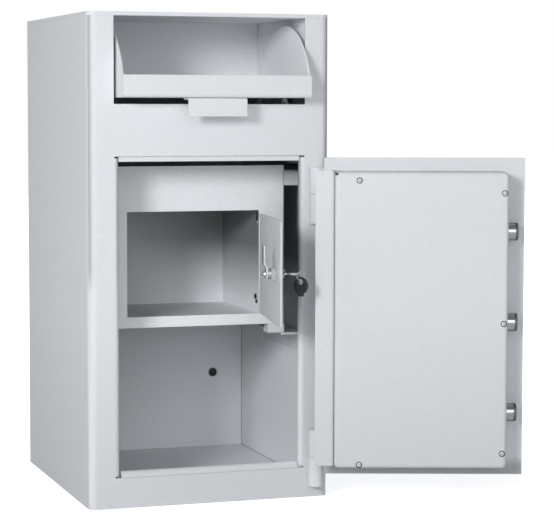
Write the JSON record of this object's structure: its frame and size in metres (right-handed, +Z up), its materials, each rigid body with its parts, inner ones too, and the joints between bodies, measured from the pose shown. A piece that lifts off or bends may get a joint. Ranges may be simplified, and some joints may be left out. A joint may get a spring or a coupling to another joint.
{
  "type": "drop safe with deposit drawer",
  "caption": "Upright steel drop safe: a tilting deposit hopper on top, a small lockable inner locker and a bolted main door that stands open.",
  "frame": {"origin": "middle of the base, at the floor", "axes": "+X to the right seen from the front, +Y to the back, +Z up"},
  "size_m": [0.615, 0.5585, 0.698],
  "materials": {
    "powder_coat": "very light grey powder coat with a fine texture",
    "zinc_plate": "zinc plated",
    "dark_steel": "plain rolled steel",
    "chrome": "bright chrome",
    "black_plastic": "black moulded plastic"
  },
  "bodies": {
    "safe": {"body_wrap": "powder_coat", "doorway_header": "powder_coat", "top_plate": "powder_coat", "base_plate": "powder_coat", "back_plate": "powder_coat", "hopper_cheek_left": "powder_coat", "hopper_cheek_right": "powder_coat", "hopper_baffle": "powder_coat", "deposit_chute": "powder_coat", "locker_front": "powder_coat", "locker_box": "powder_coat", "locker_ledge_left": "powder_coat", "locker_ledge_right": "powder_coat", "locker_spacer_left": "powder_coat", "locker_spacer_right": "powder_coat", "locker_stay_left": "powder_coat", "locker_stay_right": "powder_coat", "body_knuckle_upper": "powder_coat", "body_knuckle_lower": "powder_coat", "hinge_pin_upper": "zinc_plate", "hinge_pin_lower": "zinc_plate", "inner_hinge_upper": "powder_coat", "inner_hinge_lower": "powder_coat"},
    "hopper": {"hopper_tray": "powder_coat", "hopper_end_left": "powder_coat", "hopper_end_right": "powder_coat", "hopper_pivot_left": "zinc_plate", "hopper_pivot_right": "zinc_plate", "hopper_handle": "powder_coat"},
    "main_door": {"door_plate": "powder_coat", "door_knuckle_upper": "powder_coat", "door_knuckle_lower": "powder_coat", "bolt_cover": "powder_coat", "dead_bar": "powder_coat", "bolt_guide": "dark_steel", "lock_case": "zinc_plate", "dial_ring": "chrome"},
    "boltwork": {"bolt_bar": "dark_steel", "bolt_upper": "chrome", "bolt_middle": "chrome", "bolt_lower": "chrome"},
    "handle": {"lever_handle": "chrome", "handle_crank": "dark_steel"},
    "dial": {"dial_knob": "black_plastic"},
    "lock_bolt": {"lock_bolt": "dark_steel"},
    "locker_door": {"inner_door": "powder_coat", "inner_strap_upper": "powder_coat", "inner_strap_lower": "powder_coat", "cam_lock_barrel": "chrome", "cam_lock_nut": "zinc_plate"},
    "lock_plug": {"cam_lock_plug": "chrome", "lock_cam": "zinc_plate", "cam_screw": "zinc_plate", "key_in_lock": "zinc_plate"},
    "key_ring": {"key_ring": "zinc_plate", "spare_key_grip": "black_plastic", "spare_key_blade": "zinc_plate"}
  },
  "joints": [
    {"name": "hopper_tilt", "type": "hinge", "parent": "safe", "child": "hopper", "pos_m": [0, -0.128, 0.568], "axis": [1, 0, 0], "range_deg": [-50, 0]},
    {"name": "main_door_swing", "type": "hinge", "parent": "safe", "child": "main_door", "pos_m": [0.155, -0.214, 0.25], "axis": [0, 0, 1], "range_deg": [-161, 14]},
    {"name": "bolt_slide", "type": "slide", "parent": "main_door", "child": "boltwork", "axis": [0.9455, -0.3256, 0], "range_m": [0, 0.0145]},
    {"name": "handle_turn", "type": "hinge", "parent": "main_door", "child": "handle", "pos_m": [0.27906, -0.26835, 0.215], "axis": [0.3256, 0.9455, 0], "range_deg": [0, 53.94]},
    {"name": "dial_turn", "type": "hinge", "parent": "main_door", "child": "dial", "pos_m": [0.27906, -0.26835, 0.345], "axis": [0.3256, 0.9455, 0], "continuous": true},
    {"name": "lock_bolt_slide", "type": "slide", "parent": "main_door", "child": "lock_bolt", "axis": [0.9455, -0.3256, 0], "range_m": [0, 0.0101]},
    {"name": "locker_door_swing", "type": "hinge", "parent": "safe", "child": "locker_door", "pos_m": [0.106, -0.1173, 0.336], "axis": [0, 0, 1], "range_deg": [-80.3, 7.1]},
    {"name": "lock_turn", "type": "hinge", "parent": "locker_door", "child": "lock_plug", "pos_m": [0.07278, -0.28612, 0.3345], "axis": [0.9857, -0.1685, 0], "range_deg": [0, 90]},
    {"name": "key_ring_swing", "type": "hinge", "parent": "lock_plug", "child": "key_ring", "pos_m": [0.10422, -0.29149, 0.3345], "axis": [-0.1685, -0.9857, 0], "range_deg": [-15, 15]}
  ],
  "couplings": [
    {"joint": "handle_turn", "follows": "bolt_slide", "rad_per_m": 64.865},
    {"joint": "lock_bolt_slide", "follows": "bolt_slide", "ratio": 0.68966},
    {"joint": "locker_door_swing", "follows": "main_door_swing", "ratio": 0.49876}
  ]
}
